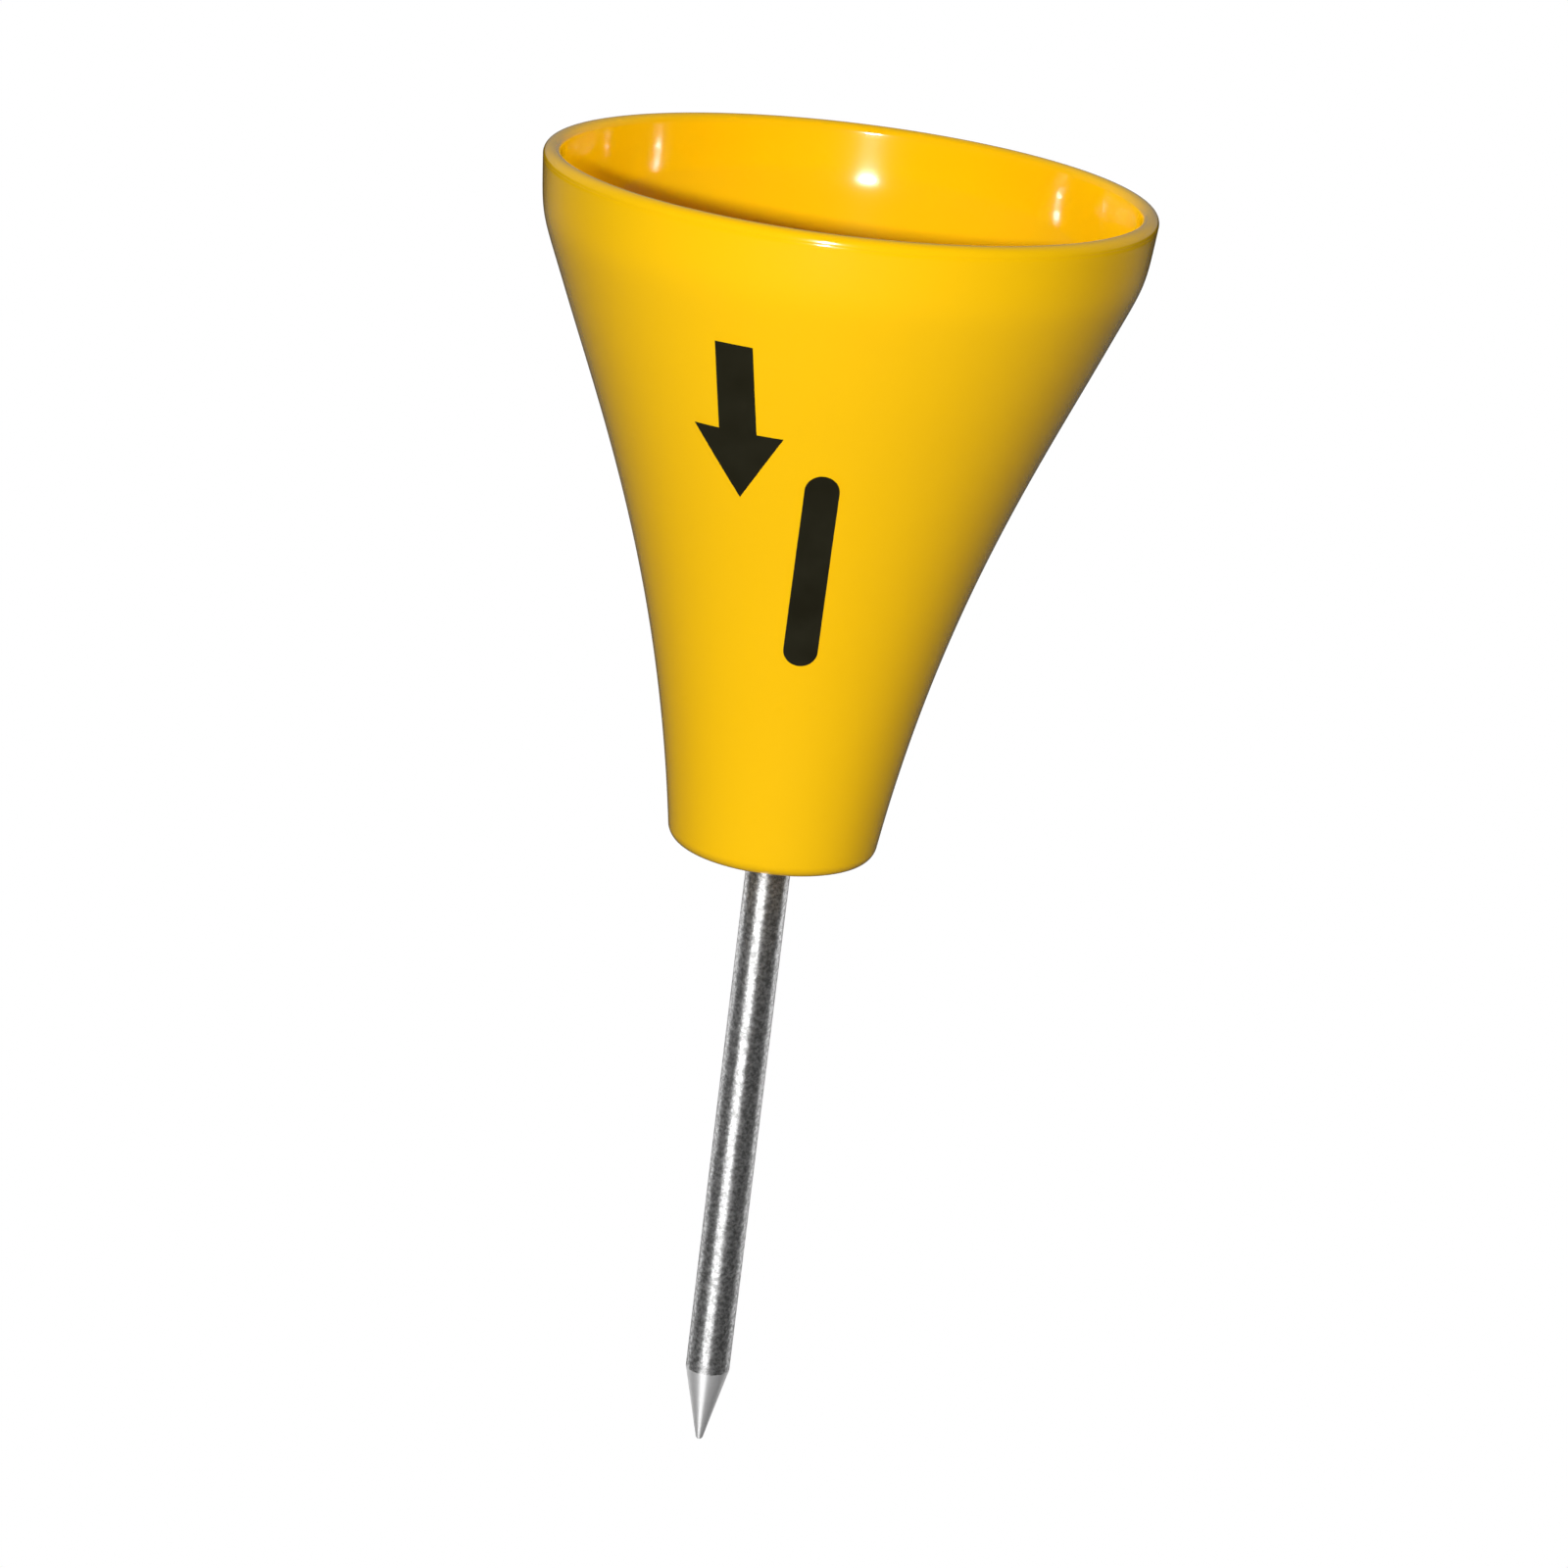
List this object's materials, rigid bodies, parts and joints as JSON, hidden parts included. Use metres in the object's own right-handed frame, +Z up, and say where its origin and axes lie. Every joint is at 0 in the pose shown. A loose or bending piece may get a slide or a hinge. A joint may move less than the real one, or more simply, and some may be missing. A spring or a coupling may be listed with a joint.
{
  "type": "broken tee holder",
  "caption": "Open tee-shaped yellow plastic cup on a pointed steel ground spike, pushed into turf beside a golf tee to collect broken tees; plain pictogram on its wall.",
  "frame": {"origin": "on the spike's axis, in the plane of the cup's flat underside, which is the ground line when the spike is pushed home", "axes": "+Z up along the spike's axis towards the cup's mouth; -Y is the side of the wall that carries the marks; +X is to the right when they are looked at"},
  "size_m": [0.126, 0.126, 0.281],
  "materials": {
    "yellow_plastic": "glossy moulded plastic, saturated warm yellow, smooth inside and out",
    "bright_steel": "bright drawn steel rod with a fine speckled grain, ground conical point",
    "zinc_plate": "bright zinc-plated fasteners",
    "black_film": "near-black matt vinyl film"
  },
  "bodies": {
    "root": {"cup_shell": "yellow_plastic", "ground_spike": "bright_steel", "base_washer": "zinc_plate", "floor_washer": "zinc_plate", "lock_washer": "zinc_plate", "spike_nut": "zinc_plate", "upper_mark": "black_film", "lower_mark": "black_film"}
  },
  "joints": []
}
